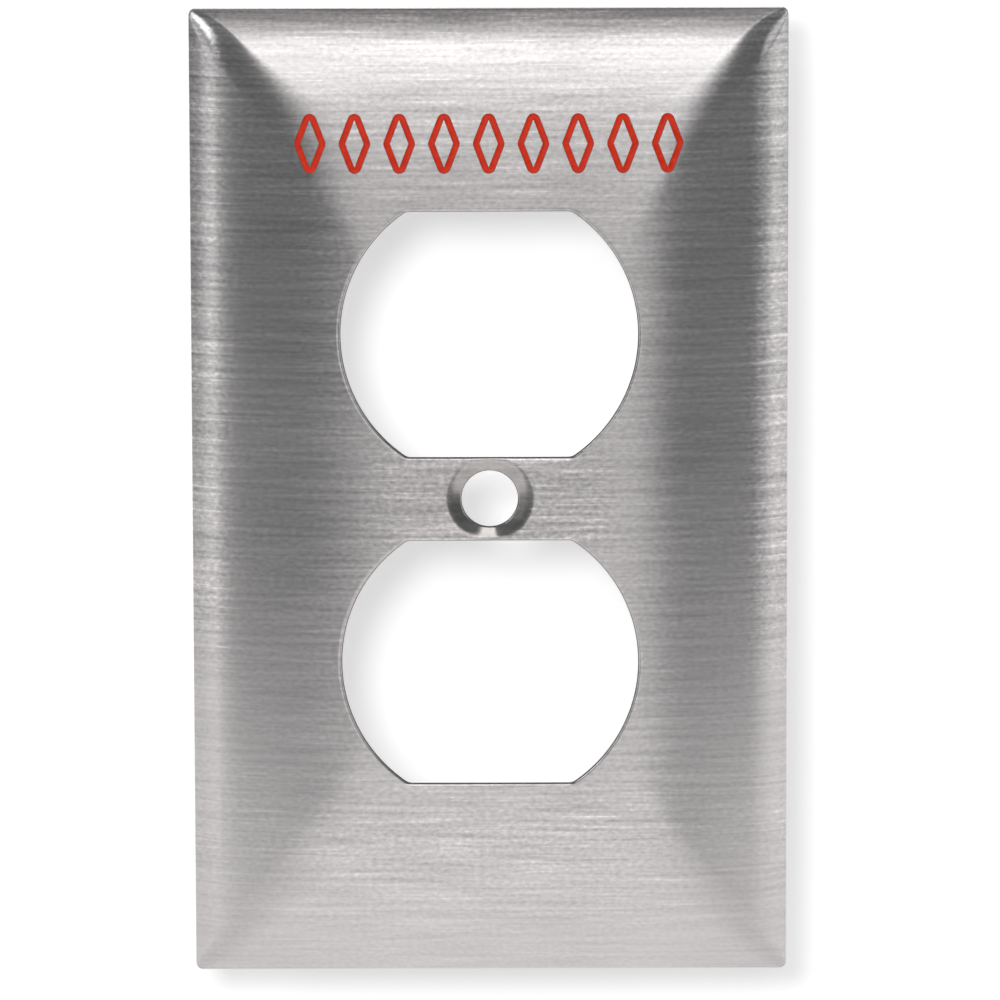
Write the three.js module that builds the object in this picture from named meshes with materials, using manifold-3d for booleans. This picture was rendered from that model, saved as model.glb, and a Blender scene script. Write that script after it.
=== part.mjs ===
// A single-gang wall plate for a duplex receptacle: one stainless steel sheet drawn into a shallow dished
// cover, with two openings, a dimpled screw hole and a row of nine engraved lozenges filled with red enamel.
// Millimetres. +Z runs up the plate as it is installed, and its front faces -Y. The origin is where the
// axis of the screw hole meets the wall plane, which the plate's rim stands on.

import * as THREE from "three";
import { mergeVertices } from "three/addons/utils/BufferGeometryUtils.js";
import Module from "manifold-3d";

const wasm = await Module();
wasm.setup();

// Driving dimensions.
const PLATE = { width: 69.85, height: 114.3, depth: 5.6, sheet: 0.9 };
// A ring's corner radius is `outer` at the outline. It grows by `growth` within the first few `reach` of inset,
// and by far * inset * inset. It leaves each side a straight stretch at least twice `straight` long.
const CORNER = { outer: 0.8, growth: 2, reach: 1, far: 0.0165, least: 0.08, straight: 0.4, segments: 8 };
const RIM = { edgeRadius: 0.45, arcSteps: 3 };
// The front's slope towards the rim, in degrees, by its inset from the plate's outline, in mm.
const SLOPES = [
  [0.15, 40],
  [1.3, 34],
  [2.6, 27],
  [3.6, 20],
  [4.6, 15.5],
  [6, 12.5],
  [8, 10.5],
  [11, 7.8],
  [14, 5.2],
  [17, 3.4],
  [20, 2.3],
  [24, 1.4],
  [28, 0.7],
  [32, 0],
];
// flat: half of flat to flat
const OPENING = { radius: 17.35, flat: 14.45, centre: 19.4, corner: 1.4, sideSegments: 16, cornerSegments: 4 };
const HOLE = { radius: 3.3, segments: 40 };
// The dimple is a cone that eases in over a share of its width.
const DIMPLE = { radius: 5.3, depth: 0.5, ease: 0.5, steps: 4 };
// core: how far the engraved line's inner edge stands outside the sharp lozenge that it runs round
const MARK = { width: 3.6, height: 7, stroke: 0.68, core: 0.08, roundSteps: 3 };
const ROW = { count: 9, pitch: 5.2, centre: 41.8 }; // centre: the row's height above the screw hole
const POCKET = { depth: 0.35, enamelTop: 0.07, gap: 0.03 }; // gap: between the enamel and the steel around it
const BEYOND = 2; // how far a cutting tool runs past the face that it cuts

const STEEL = { color: 0xb4b3b1, roughness: 0.35, metalness: 1 };
const ENAMEL = { color: 0xcd2d23, roughness: 0.3, metalness: 0 };

const radians = (degrees) => (degrees * Math.PI) / 180;

// A closed three.js geometry as a manifold-3d solid.
function solid(geometry) {
  const plain = geometry.index ? geometry.clone() : geometry;
  for (const name of Object.keys(plain.attributes)) {
    if (name !== "position") plain.deleteAttribute(name);
  }
  const merged = mergeVertices(plain, 1e-4);
  return new wasm.Manifold(
    new wasm.Mesh({
      numProp: 3,
      vertProperties: Float32Array.from(merged.attributes.position.array),
      triVerts: Uint32Array.from(merged.index.array),
    }),
  );
}

// A manifold-3d solid as a three.js geometry.
function geometryOf(body) {
  const mesh = body.getMesh();
  const geometry = new THREE.BufferGeometry();
  geometry.setAttribute("position", new THREE.BufferAttribute(Float32Array.from(mesh.vertProperties), 3));
  geometry.setIndex(new THREE.BufferAttribute(Uint32Array.from(mesh.triVerts), 1));
  geometry.computeVertexNormals();
  return geometry;
}

// One loop of points around the plate: a rounded rectangle at an inset from its outline.
function ringPoints({ inset, height, radius }) {
  const centreX = PLATE.width / 2 - inset - radius;
  const centreZ = PLATE.height / 2 - inset - radius;
  const signs = [[1, 1], [-1, 1], [-1, -1], [1, -1]];
  return signs.flatMap(([signX, signZ], quarter) =>
    Array.from({ length: CORNER.segments + 1 }, (_, step) => {
      const angle = (Math.PI / 2) * (quarter + step / CORNER.segments);
      const [x, z] = [radius * Math.cos(angle), radius * Math.sin(angle)];
      return [signX * centreX + x, -height, signZ * centreZ + z];
    }),
  );
}

// A closed body through a stack of rings, each nearer the front than the last, with a flat cap at both ends.
function loft(rings) {
  const loops = rings.map(ringPoints);
  const count = loops[0].length;
  const last = count * (loops.length - 1);
  const index = [];
  for (let ring = 0; ring < loops.length - 1; ring += 1) {
    for (let here = 0; here < count; here += 1) {
      const next = (here + 1) % count;
      const [a, b] = [ring * count + here, ring * count + next];
      index.push(a, b, b + count, a, b + count, a + count);
    }
  }
  for (let here = 1; here < count - 1; here += 1) {
    index.push(0, here + 1, here, last, last + here, last + here + 1);
  }
  const geometry = new THREE.BufferGeometry();
  geometry.setAttribute("position", new THREE.Float32BufferAttribute(loops.flat(2), 3));
  geometry.setIndex(index);
  return solid(geometry);
}

// The front's profile, from the rim's back edge to the flat middle: inset, height and slope of each ring.
function frontProfile() {
  const steepest = SLOPES[0][1];
  const arc = Array.from({ length: RIM.arcSteps + 1 }, (_, step) => {
    const slope = 90 - ((90 - steepest) * step) / RIM.arcSteps;
    const inset = RIM.edgeRadius * (1 - Math.sin(radians(slope)));
    return { inset, rise: RIM.edgeRadius * Math.cos(radians(slope)), slope };
  });
  const rings = [...arc];
  let previous = arc.at(-1);
  for (const [inset, slope] of SLOPES.slice(1)) {
    const steepness = (Math.tan(radians(previous.slope)) + Math.tan(radians(slope))) / 2;
    previous = { inset, rise: previous.rise + steepness * (inset - previous.inset), slope };
    rings.push(previous);
  }
  const rim = PLATE.depth - previous.rise;
  const stations = rings.map(({ inset, rise, slope }) => ({ inset, height: rim + rise, slope }));
  return [{ inset: 0, height: 0, slope: 90 }, ...stations];
}

function cornerRadius(inset) {
  const grown = CORNER.growth * (1 - Math.exp(-inset / CORNER.reach)) + CORNER.far * inset * inset;
  return Math.min(CORNER.outer + grown, PLATE.width / 2 - inset - CORNER.straight);
}

// The body that the front face bounds, moved back from the front by a distance.
function frontBody(back = 0) {
  const rings = frontProfile().map(({ inset, height }) => ({
    inset,
    height: height - back,
    radius: cornerRadius(inset),
  }));
  return loft(rings);
}

// The hollow behind the sheet: the front profile, one sheet thickness in along its normals.
function hollowBody() {
  const rings = frontProfile().map(({ inset, height, slope }) => {
    const inward = PLATE.sheet * Math.sin(radians(slope));
    return {
      inset: inset + inward,
      height: height - PLATE.sheet * Math.cos(radians(slope)),
      radius: Math.max(cornerRadius(inset) - inward, CORNER.least),
    };
  });
  rings[0].height = -BEYOND;
  return loft(rings);
}

// A prism along the plate's depth, from a shape drawn with x to the right and y up the plate.
function prism(shape, depth, front) {
  const geometry = new THREE.ExtrudeGeometry(shape, { depth, bevelEnabled: false, steps: 1 });
  geometry.rotateX(Math.PI / 2).translate(0, depth - front, 0);
  return solid(geometry);
}

// A body turned about the screw hole's axis from [radius, height] points, from the axis and back to it.
function turned(points) {
  const profile = points.map(([radius, height]) => new THREE.Vector2(radius, -height));
  return solid(new THREE.LatheGeometry(profile, HOLE.segments));
}

// The dimple's front surface as [radius, height] points, from the hole to the dimple's level rim.
function dimpleCurve() {
  const shares = [1];
  for (let step = DIMPLE.steps; step >= 0; step -= 1) {
    shares.push((DIMPLE.ease * step) / DIMPLE.steps);
  }
  return shares.map((share) => {
    const cone = share < DIMPLE.ease ? share ** 2 / (2 * DIMPLE.ease) : share - DIMPLE.ease / 2;
    const radius = DIMPLE.radius - (DIMPLE.radius - HOLE.radius) * share;
    return [radius, PLATE.depth - (DIMPLE.depth * cone) / (1 - DIMPLE.ease / 2)];
  });
}

function dimpleFrontCut() {
  const front = PLATE.depth + BEYOND;
  const curve = dimpleCurve();
  return turned([[0, front], [DIMPLE.radius, front], ...curve.reverse(), [0, PLATE.depth - DIMPLE.depth]]);
}

function dimpleBackFill() {
  const flatBack = PLATE.depth - PLATE.sheet / 2;
  const curve = dimpleCurve().map(([radius, height]) => [radius, height - PLATE.sheet]);
  const bottom = curve[0][1];
  return turned([[0, flatBack], [DIMPLE.radius, flatBack], ...curve.reverse(), [0, bottom]]);
}

// Points along a circular arc, from one angle to another.
function arcPoints(x, z, radius, from, to, segments) {
  return Array.from({ length: segments + 1 }, (_, step) => {
    const angle = from + ((to - from) * step) / segments;
    return new THREE.Vector2(x + radius * Math.cos(angle), z + radius * Math.sin(angle));
  });
}

// A circle with its top and bottom cut flat and the corners rounded, centred at a height on the plate.
function openingShape(centre) {
  const { radius, flat, corner, sideSegments, cornerSegments } = OPENING;
  const cornerZ = flat - corner;
  const cornerX = Math.sqrt((radius - corner) ** 2 - cornerZ ** 2);
  const end = Math.atan2(cornerZ, cornerX); // where a side's arc meets a corner's
  const half = (turn) => {
    const side = arcPoints(0, centre, radius, turn - end, turn + end, sideSegments);
    const sign = Math.cos(turn);
    const first = arcPoints(
      sign * cornerX,
      centre + sign * cornerZ,
      corner,
      turn + end,
      turn + Math.PI / 2,
      cornerSegments,
    );
    const second = arcPoints(
      -sign * cornerX,
      centre + sign * cornerZ,
      corner,
      turn + Math.PI / 2,
      turn + Math.PI - end,
      cornerSegments,
    );
    return [...side, ...first.slice(1), ...second.slice(0, -1)];
  };
  return new THREE.Shape([...half(0), ...half(Math.PI)]);
}

function holeShape() {
  return new THREE.Shape().absarc(0, 0, HOLE.radius, 0, 2 * Math.PI);
}

// A mark's core, a sharp lozenge, moved outwards by a distance that rounds its corners.
function lozenge(centreX, outward) {
  const halfWidth = MARK.width / 2 - MARK.core - MARK.stroke;
  const halfHeight = MARK.height / 2 - MARK.core - MARK.stroke;
  const corners = [[halfWidth, 0], [0, halfHeight], [-halfWidth, 0], [0, -halfHeight]];
  const facing = Math.atan2(halfWidth, halfHeight); // the angle above +X that the upper right side faces
  const starts = [-facing, facing, Math.PI - facing, Math.PI + facing];
  const sweeps = [2 * facing, Math.PI - 2 * facing, 2 * facing, Math.PI - 2 * facing];
  return corners.flatMap(([x, z], corner) =>
    Array.from({ length: MARK.roundSteps + 1 }, (_, step) => {
      const angle = starts[corner] + (sweeps[corner] * step) / MARK.roundSteps;
      return new THREE.Vector2(
        centreX + x + outward * Math.cos(angle),
        ROW.centre + z + outward * Math.sin(angle),
      );
    }),
  );
}

// The closed lozenge outline of one engraved line, made wider on both sides by a margin.
function markShape(centreX, margin) {
  const shape = new THREE.Shape(lozenge(centreX, MARK.core + MARK.stroke + margin));
  shape.holes.push(new THREE.Path(lozenge(centreX, MARK.core - margin).reverse()));
  return shape;
}

const rowMiddle = (ROW.count - 1) / 2;
const markCentres = Array.from({ length: ROW.count }, (_, place) => ROW.pitch * (place - rowMiddle));

function makePlate() {
  const front = PLATE.depth + BEYOND;
  let body = frontBody().subtract(hollowBody());
  body = body.add(dimpleBackFill()).subtract(dimpleFrontCut());
  for (const centre of [OPENING.centre, -OPENING.centre]) {
    body = body.subtract(prism(openingShape(centre), front + BEYOND, front));
  }
  body = body.subtract(prism(holeShape(), front + BEYOND, front));
  const pocketFloor = frontBody(POCKET.depth);
  for (const centreX of markCentres) {
    body = body.subtract(prism(markShape(centreX, POCKET.gap), front, front).subtract(pocketFloor));
  }
  return geometryOf(body);
}

function makeEnamel(centreX) {
  const line = prism(markShape(centreX, 0), PLATE.depth, PLATE.depth);
  const under = frontBody(POCKET.depth - POCKET.gap);
  return geometryOf(line.intersect(frontBody(POCKET.enamelTop)).subtract(under));
}

function part(name, geometry, look) {
  const mesh = new THREE.Mesh(geometry, new THREE.MeshStandardMaterial(look));
  mesh.name = name;
  return mesh;
}

const wallPlate = new THREE.Group();
wallPlate.name = "duplex_wall_plate";
wallPlate.add(part("wall_plate", makePlate(), STEEL));
markCentres.forEach((centreX, place) => {
  wallPlate.add(part(`enamel_fill_${place + 1}`, makeEnamel(centreX), ENAMEL));
});

export default wallPlate;
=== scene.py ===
"""A brushed stainless steel duplex wall plate with a row of red enamel marks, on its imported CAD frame.

Lengths are in millimetres until a mesh is made, and then in metres. +Z runs up the plate and its front
faces -Y. "Height" is how far a point stands out from the wall plane, so its y is minus its height.
"""

import math

import bpy
import numpy as np
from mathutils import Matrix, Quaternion, Vector
from mathutils.geometry import delaunay_2d_cdt


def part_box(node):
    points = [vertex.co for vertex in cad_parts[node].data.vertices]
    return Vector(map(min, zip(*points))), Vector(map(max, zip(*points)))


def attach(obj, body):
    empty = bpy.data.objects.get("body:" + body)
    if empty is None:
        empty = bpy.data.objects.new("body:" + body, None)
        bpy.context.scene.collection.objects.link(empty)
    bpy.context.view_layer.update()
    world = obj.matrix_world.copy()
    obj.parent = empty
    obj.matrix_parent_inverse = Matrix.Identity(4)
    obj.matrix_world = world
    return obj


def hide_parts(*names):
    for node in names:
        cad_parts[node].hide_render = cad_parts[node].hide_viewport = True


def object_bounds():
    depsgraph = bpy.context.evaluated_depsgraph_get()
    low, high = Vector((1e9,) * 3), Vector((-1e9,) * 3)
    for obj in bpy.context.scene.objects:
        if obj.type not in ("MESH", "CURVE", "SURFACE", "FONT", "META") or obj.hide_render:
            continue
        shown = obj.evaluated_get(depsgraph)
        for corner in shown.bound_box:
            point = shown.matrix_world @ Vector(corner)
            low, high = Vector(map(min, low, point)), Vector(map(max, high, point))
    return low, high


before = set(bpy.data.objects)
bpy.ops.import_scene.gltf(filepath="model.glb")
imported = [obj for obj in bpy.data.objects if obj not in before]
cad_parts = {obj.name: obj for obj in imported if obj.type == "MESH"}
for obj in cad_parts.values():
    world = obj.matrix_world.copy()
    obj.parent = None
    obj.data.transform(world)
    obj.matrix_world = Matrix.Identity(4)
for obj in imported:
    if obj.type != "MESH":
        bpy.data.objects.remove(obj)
CAD_LOW, CAD_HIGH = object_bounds()

MM = 0.001

# ---------------------------------------------------------------- sizes, as the CAD model has them

PLATE_LOW, PLATE_HIGH = (Vector(corner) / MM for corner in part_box("wall_plate"))
HALF_WIDTH = (PLATE_HIGH.x - PLATE_LOW.x) / 2
HALF_HEIGHT = (PLATE_HIGH.z - PLATE_LOW.z) / 2
DEPTH = PLATE_HIGH.y - PLATE_LOW.y
SHEET = 0.9

# A ring's corner radius is CORNER_OUTER at the outline. It grows by CORNER_GROWTH within the first few
# CORNER_REACH of inset, and by CORNER_FAR * inset**2. It leaves each side a straight stretch at least twice
# CORNER_STRAIGHT long.
CORNER_OUTER, CORNER_GROWTH, CORNER_REACH, CORNER_FAR = 0.8, 2.0, 1.0, 0.0165
CORNER_STRAIGHT = 0.4
CORNER_LEAST = 0.08
RIM_RADIUS = 0.45
BACK_EDGE_RADIUS = 0.12
# The front's slope in degrees by its inset from the outline.
SLOPES = [
    (0.15, 40),
    (1.3, 34),
    (2.6, 27),
    (3.6, 20),
    (4.6, 15.5),
    (6, 12.5),
    (8, 10.5),
    (11, 7.8),
    (14, 5.2),
    (17, 3.4),
    (20, 2.3),
    (24, 1.4),
    (28, 0.7),
    (32, 0),
]

OPENING_RADIUS, OPENING_FLAT, OPENING_CENTRE = 17.35, 14.45, 19.4
OPENING_CORNER = 1.4
HOLE_RADIUS = 3.3
# The dimple is a cone that eases in over DIMPLE_EASE of its width. It goes on past the hole's edge, up to
# DIMPLE_BEYOND widths from its own edge, so that the steel there has its true slope.
DIMPLE_RADIUS, DIMPLE_DEPTH, DIMPLE_EASE, DIMPLE_BEYOND = 5.3, 0.5, 0.5, 1.3

MARK_LOW, MARK_HIGH = (Vector(corner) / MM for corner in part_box("enamel_fill_1"))
MARK_WIDTH = MARK_HIGH.x - MARK_LOW.x
MARK_HEIGHT = MARK_HIGH.z - MARK_LOW.z
ROW_CENTRE = (MARK_HIGH.z + MARK_LOW.z) / 2
STROKE = 0.68
MARK_CORE = 0.08
GROOVE_DEPTH, GROOVE_LIP = 0.35, 0.05

# Finer than the CAD model: each hole's edge has a bevel and a roll on the front, and a roll on the back. The
# front roll is brushed up to LAST_BRUSHED_TURN, and the hole is BREAKOUT wider all round at the back.
BEVEL, BEVEL_SLOPE = 0.2, 4.0
OPENING_LIP, HOLE_LIP, BACK_LIP = 0.35, 0.2, 0.1
LAST_BRUSHED_TURN = math.radians(44)
BREAKOUT = 0.12
UV_SCALE = 0.01  # units of the UV map for each millimetre of the flat sheet

# ---------------------------------------------------------------- the front's profile


def smooth_table(table, step):
    """Samples a table of (place, value) on one smooth curve that never overshoots (Fritsch and Carlson)."""
    place, value = np.array(table, float).T
    gap = np.diff(place)
    secant = np.diff(value) / gap
    tangent = np.concatenate(([secant[0]], (secant[:-1] + secant[1:]) / 2, [0.0]))
    tangent[1:-1][secant[:-1] * secant[1:] <= 0] = 0
    limit = 3 * np.minimum(np.abs(np.append(secant, 0)), np.abs(np.insert(secant, 0, secant[0])))
    tangent = np.sign(tangent) * np.minimum(np.abs(tangent), np.maximum(limit, 0))
    at = np.arange(place[0], place[-1] + step / 2, step)
    piece = np.clip(np.searchsorted(place, at, side="right") - 1, 0, len(gap) - 1)
    t = (at - place[piece]) / gap[piece]
    start, end = value[piece], value[piece + 1]
    lean = gap[piece] * (t**3 - 2 * t**2 + t) * tangent[piece]
    lean += gap[piece] * (t**3 - t**2) * tangent[piece + 1]
    return at, start * (2 * t**3 - 3 * t**2 + 1) + end * (3 * t**2 - 2 * t**3) + lean


INSETS, SLOPE = smooth_table(SLOPES, 0.02)
TANGENTS = np.tan(np.radians(SLOPE))


def running_total(values, places):
    """The integral of values over places, from the first place."""
    return np.concatenate(([0.0], np.cumsum((values[1:] + values[:-1]) / 2 * np.diff(places))))


RISES = running_total(TANGENTS, INSETS)
HEIGHTS = DEPTH - RISES[-1] + RISES
# How much longer the bent sheet is than its plan, from each inset to the flat middle.
STRETCH = running_total(np.hypot(1, TANGENTS) - 1, INSETS)
STRETCH = STRETCH[-1] - STRETCH
FIRST_SLOPE = math.radians(SLOPES[0][1])
FLAT_INSET = SLOPES[-1][0]
FRAME_INSET = 11.0  # the structured rings end here, outside the row of marks


def corner_radius(inset):
    grown = CORNER_GROWTH * (1 - np.exp(-inset / CORNER_REACH)) + CORNER_FAR * inset**2
    return np.minimum(CORNER_OUTER + grown, HALF_WIDTH - inset - CORNER_STRAIGHT)


def corner_growth(inset):
    return CORNER_GROWTH / CORNER_REACH * math.exp(-inset / CORNER_REACH) + 2 * CORNER_FAR * inset


def inset_at(x, z):
    """How far inside the outline the ring through a point is, up to the flat middle."""
    low = np.full(np.shape(x), -0.5)
    high = np.full(np.shape(x), float(FLAT_INSET))
    for _ in range(30):
        inset = (low + high) / 2
        radius = corner_radius(inset)
        p = np.abs(x) - HALF_WIDTH + inset + radius
        q = np.abs(z) - HALF_HEIGHT + inset + radius
        beyond = np.hypot(np.maximum(p, 0), np.maximum(q, 0)) + np.minimum(np.maximum(p, q), 0) - radius
        high = np.where(beyond > 0, inset, high)
        low = np.where(beyond > 0, low, inset)
    return (low + high) / 2


def dimple_drop(x, z):
    """How far the dimple lies below the flat."""
    share = (DIMPLE_RADIUS - np.hypot(x, z)) / (DIMPLE_RADIUS - HOLE_RADIUS)
    share = np.clip(share, 0, DIMPLE_BEYOND)
    cone = np.where(share < DIMPLE_EASE, share**2 / (2 * DIMPLE_EASE), share - DIMPLE_EASE / 2)
    return DIMPLE_DEPTH * cone / (1 - DIMPLE_EASE / 2)


def front_height(x, z):
    return np.interp(inset_at(x, z), INSETS, HEIGHTS) - dimple_drop(x, z)


def back_height(x, z):
    inset = inset_at(x, z)
    steepness = np.interp(inset, INSETS, TANGENTS)
    return np.interp(inset, INSETS, HEIGHTS) - SHEET * np.hypot(1, steepness) - dimple_drop(x, z)


def surface_normals(height, x, z):
    """Unit normals towards the front of a surface that is given by its height."""
    d = 0.01
    across = (height(x + d, z) - height(x - d, z)) / (2 * d)
    up = (height(x, z + d) - height(x, z - d)) / (2 * d)
    normals = np.stack([-across, -np.ones_like(across), -up], axis=1)
    return normals / np.linalg.norm(normals, axis=1)[:, None]


# ---------------------------------------------------------------- collecting a mesh


class Sheet:
    """Vertices with their normals and developed places, and faces with a material number each."""

    def __init__(self):
        self.points, self.normals, self.developed = [], [], []
        self.faces, self.looks = [], []
        self.count = 0

    def add(self, plan, height, normals, developed=None):
        """Adds points at plan (x, z) and a height, and returns their numbers."""
        height = np.broadcast_to(height, (len(plan),))
        self.points.append(np.stack([plan[:, 0], -height, plan[:, 1]], axis=1))
        self.normals.append(normals / np.linalg.norm(normals, axis=1)[:, None])
        self.developed.append(plan if developed is None else developed)
        start = self.count
        self.count += len(plan)
        return np.arange(start, self.count)

    def strip(self, first, second, look):
        """Quads between two closed loops of the same length."""
        for a, b, c, d in zip(first, np.roll(first, -1), np.roll(second, -1), second):
            self.faces.append((a, b, c, d))
            self.looks.append(look)

    def fill(self, loops, kept, spare, height, look):
        """Triangles between loops, each (numbers, plan), through spare points on the height surface. kept is
        told the triangles' centres."""
        spare_numbers = self.add(spare, height(*spare.T), surface_normals(height, *spare.T), develop(spare))
        numbers = np.concatenate([loop[0] for loop in loops] + [spare_numbers])
        plan = np.concatenate([loop[1] for loop in loops] + [spare])
        edges, start = [], 0
        for _, loop in loops:
            size = len(loop)
            edges += [(start + i, start + (i + 1) % size) for i in range(size)]
            start += size
        made = delaunay_2d_cdt([Vector(p) for p in plan], edges, [], 0, 1e-7)
        source = [origins[0] for origins in made[3]]
        triangles = [face for face in made[2] if len(face) == 3]
        centres = np.array([np.mean([made[0][i] for i in face], axis=0) for face in triangles])
        for face, keep in zip(triangles, kept(centres)):
            if keep:
                self.faces.append(tuple(numbers[source[i]] for i in face))
                self.looks.append(look)

    def object(self, name, materials):
        """The Blender object, in metres, with its faces outward, its normals and its developed UV map."""
        points = np.concatenate(self.points)
        normals = np.concatenate(self.normals)
        faces = []
        for face in self.faces:
            corners = points[list(face)]
            facing = np.cross(corners[1] - corners[0], corners[2] - corners[0])
            if len(face) == 4:
                facing = facing + np.cross(corners[2] - corners[0], corners[3] - corners[0])
            outward = normals[list(face)].sum(axis=0)
            faces.append(face if facing @ outward > 0 else face[::-1])
        mesh = bpy.data.meshes.new(name)
        mesh.from_pydata((points * MM).tolist(), [], [[int(i) for i in face] for face in faces])
        mesh.polygons.foreach_set("material_index", self.looks)
        mesh.polygons.foreach_set("use_smooth", [True] * len(faces))
        developed = np.concatenate(self.developed)
        corner_vertex = np.zeros(len(mesh.loops), np.int32)
        mesh.loops.foreach_get("vertex_index", corner_vertex)
        uv = mesh.uv_layers.new(name="Developed")
        uv.data.foreach_set("uv", (developed[corner_vertex] * UV_SCALE).astype(np.float32).ravel())
        mesh.normals_split_custom_set_from_vertices(normals.tolist())
        for material in materials:
            mesh.materials.append(material)
        made = bpy.data.objects.new(name, mesh)
        bpy.context.collection.objects.link(made)
        return made


def develop(plan):
    """Where a point of the front lies on the flat sheet that the plate was drawn from."""
    x, z = plan.T
    inset = inset_at(x, z)
    stretch = np.interp(inset, INSETS, STRETCH)
    d = 0.01
    across = inset_at(x - d, z) - inset_at(x + d, z)
    up = inset_at(x, z - d) - inset_at(x, z + d)
    away = np.stack([across, up], axis=1)
    away = away / np.maximum(np.linalg.norm(away, axis=1), 1e-9)[:, None]
    return plan + away * stretch[:, None]


def inside(points, loop):
    """Which points lie inside a closed loop, by counting the edges to their right."""
    x, z = points[:, 0][:, None], points[:, 1][:, None]
    ax, az = loop.T
    bx, bz = np.roll(loop, -1, axis=0).T
    crosses = (az > z) != (bz > z)
    gap = np.where(bz == az, 1e-12, bz - az)
    return (crosses & (x < ax + (z - az) * (bx - ax) / gap)).sum(axis=1) % 2 == 1


def clear_of(points, loops, distance):
    """The points that keep a distance to every loop's own points."""
    others = np.concatenate(loops)
    kept = [np.min(np.hypot(*(others - point).T)) > distance for point in points]
    return points[kept]


# ---------------------------------------------------------------- loops

# How finely loops and rounded edges are divided. The last two are lengths in millimetres.
CORNER_STEPS, HOLE_STEPS, BEND_STEPS = 12, 72, 6
BLUNT_POINTS, SHARP_POINTS, STROKE_STEPS = 7, 11, 8
RIM_POINTS, LIP_POINTS, EDGE_POINTS = 8, 10, 4
SIDE_STEP, ARC_STEP = 2.5, 0.8


def ring_plan(inset, radius, growth=0.0):
    """A rounded rectangle's points, their outward directions and each one's slope as a share of a side's."""
    centre = np.array([HALF_WIDTH - inset - radius, HALF_HEIGHT - inset - radius])
    plan, outward, share = [], [], []
    sides = [round(2 * HALF_WIDTH / SIDE_STEP), round(2 * HALF_HEIGHT / SIDE_STEP)]
    for quarter, signs in enumerate([(1, 1), (-1, 1), (-1, -1), (1, -1)]):
        angles = math.pi / 2 * (quarter + np.linspace(0, 1, CORNER_STEPS + 1))
        away = np.stack([np.cos(angles), np.sin(angles)], axis=1)
        plan.append(centre * signs + radius * away)
        outward.append(away)
        share.append(1 / ((1 + growth) * np.abs(away).sum(axis=1) - growth))
        following = [(-1, 1), (-1, -1), (1, -1), (1, 1)][quarter]
        start, end = plan[-1][-1], centre * following + radius * away[-1]
        steps = np.arange(1, sides[quarter % 2])[:, None] / sides[quarter % 2]
        plan.append(start + (end - start) * steps)
        outward.append(np.repeat(away[-1:], len(steps), axis=0))
        share.append(np.ones(len(steps)))
    return np.concatenate(plan), np.concatenate(outward), np.concatenate(share)


def opening_plan(centre, offset):
    """An opening's cut outline moved into the steel by an offset, and its directions out of the opening."""
    radius = OPENING_RADIUS - OPENING_CORNER
    flat = OPENING_FLAT - OPENING_CORNER
    corner = np.array([math.sqrt(radius**2 - flat**2), flat])
    grown = OPENING_CORNER + offset
    end = math.atan2(corner[1], corner[0])
    arc_count = round(2 * end * OPENING_RADIUS / ARC_STEP)
    flat_count = round(2 * corner[0] / ARC_STEP)
    arc = np.linspace(-end, end, arc_count + 1)
    bend = np.linspace(end, math.pi / 2, BEND_STEPS + 1)[1:]
    half_plan, half_away = [], []
    for angles, middle, reach in [(arc, np.zeros(2), radius + grown), (bend, corner, grown)]:
        away = np.stack([np.cos(angles), np.sin(angles)], axis=1)
        half_plan.append(middle + reach * away)
        half_away.append(away)
    along = np.linspace(corner[0], -corner[0], flat_count + 1)[1:]
    half_plan.append(np.stack([along, np.full(len(along), flat + grown)], axis=1))
    half_away.append(np.repeat([[0.0, 1.0]], len(along), axis=0))
    back = np.linspace(math.pi / 2, end, BEND_STEPS + 1)[1:-1]
    away = np.stack([-np.cos(back), np.sin(back)], axis=1)
    half_plan.append(corner * (-1, 1) + grown * away)
    half_away.append(away)
    plan, away = np.concatenate(half_plan), np.concatenate(half_away)
    # The other half is this one turned by half a turn.
    return np.concatenate([plan, -plan]) + (0, centre), np.concatenate([away, -away])


def circle_plan(radius, count):
    angles = 2 * math.pi * np.arange(count) / count
    away = np.stack([np.cos(angles), np.sin(angles)], axis=1)
    return radius * away, away


def mark_plan(centre_x, outward):
    """A mark's core lozenge moved outwards, with its sides in short steps, and its outward directions."""
    half_width = MARK_WIDTH / 2 - MARK_CORE - STROKE
    half_height = MARK_HEIGHT / 2 - MARK_CORE - STROKE
    facing = math.atan2(half_width, half_height)
    corners = [(half_width, 0), (0, half_height), (-half_width, 0), (0, -half_height)]
    starts = [-facing, facing, math.pi - facing, math.pi + facing]
    sweeps = [2 * facing, math.pi - 2 * facing, 2 * facing, math.pi - 2 * facing]
    plan, directions = [], []
    for number, corner in enumerate(corners):
        points = BLUNT_POINTS if number % 2 == 0 else SHARP_POINTS
        angles = starts[number] + sweeps[number] * np.linspace(0, 1, points)
        away = np.stack([np.cos(angles), np.sin(angles)], axis=1)
        plan.append(np.array(corner) + outward * away)
        directions.append(away)
        following = np.array(corners[(number + 1) % 4]) + outward * away[-1]
        steps = np.arange(1, STROKE_STEPS)[:, None] / STROKE_STEPS
        plan.append(plan[-1][-1] + (following - plan[-1][-1]) * steps)
        directions.append(np.repeat(away[-1:], len(steps), axis=0))
    return np.concatenate(plan) + (centre_x, ROW_CENTRE), np.concatenate(directions)


# ---------------------------------------------------------------- the plate

# The looks, in the order of the plate's materials. EDGE is the cut edge, whose dark tone is partly painted
# shade.
BRUSHED, EDGE, MILL = range(3)


def facing_normals(outward, angle):
    """Normals turned by an angle from the front towards outward and on to the back."""
    angle = np.broadcast_to(angle, (len(outward),))
    sine, cosine = np.sin(angle), np.cos(angle)
    return np.stack([outward[:, 0] * sine, -cosine, outward[:, 1] * sine], axis=1)


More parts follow.
